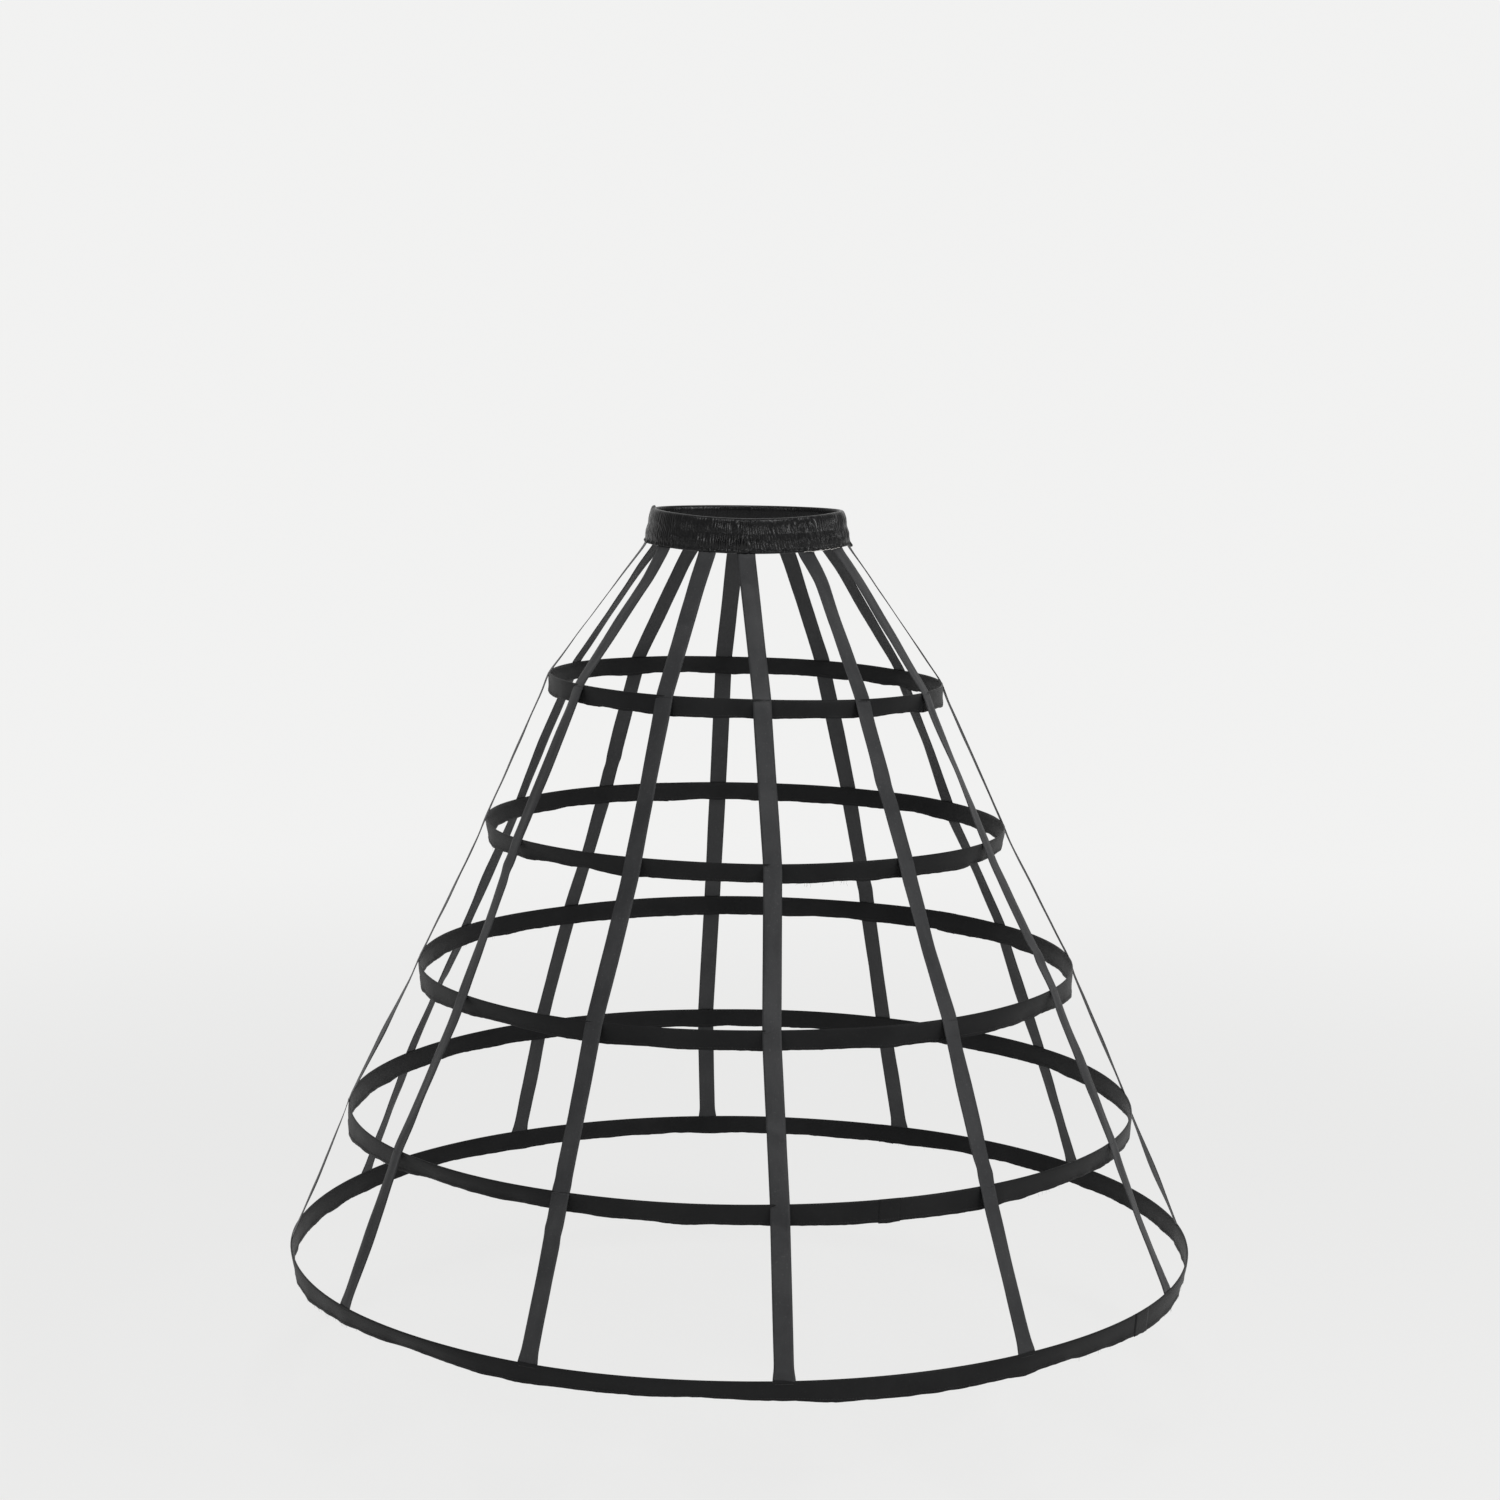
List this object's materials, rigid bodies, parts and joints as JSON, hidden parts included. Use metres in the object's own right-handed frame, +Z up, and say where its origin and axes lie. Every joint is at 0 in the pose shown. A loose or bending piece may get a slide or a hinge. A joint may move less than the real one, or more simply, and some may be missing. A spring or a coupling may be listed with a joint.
{
  "type": "crinoline cage",
  "caption": "Bell-shaped hoop skirt frame: a gathered elastic waistband, steel hoops in ribbon casings, and ribbon tapes that hang them.",
  "frame": {"origin": "centre of the waistband at half its height, the place where the cage is worn", "axes": "+Z up, -Y towards the viewer of the picture, +X to the viewer's right"},
  "size_m": [1.1258, 1.126, 0.9315],
  "materials": {
    "waistband": "black satin, gathered",
    "elastic": "woven elastic",
    "hoop_ribbon": "black ribbon casing, soft sheen",
    "tape_ribbon": "black satin ribbon",
    "bone_steel": "flat spring steel",
    "sleeve_steel": "crimped sheet steel"
  },
  "bodies": {
    "root": {"waistband_casing": "waistband", "waist_elastic": "elastic", "hoop_casing_1": "hoop_ribbon", "hoop_casing_2": "hoop_ribbon", "hoop_casing_3": "hoop_ribbon", "hoop_casing_4": "hoop_ribbon", "hoop_casing_5": "hoop_ribbon", "hoop_bones": "bone_steel", "bone_sleeves": "sleeve_steel", "tape_01": "tape_ribbon", "tape_02": "tape_ribbon", "tape_03": "tape_ribbon", "tape_04": "tape_ribbon", "tape_05": "tape_ribbon", "tape_06": "tape_ribbon", "tape_07": "tape_ribbon", "tape_08": "tape_ribbon", "tape_09": "tape_ribbon", "tape_10": "tape_ribbon", "tape_11": "tape_ribbon", "tape_12": "tape_ribbon"}
  },
  "joints": []
}
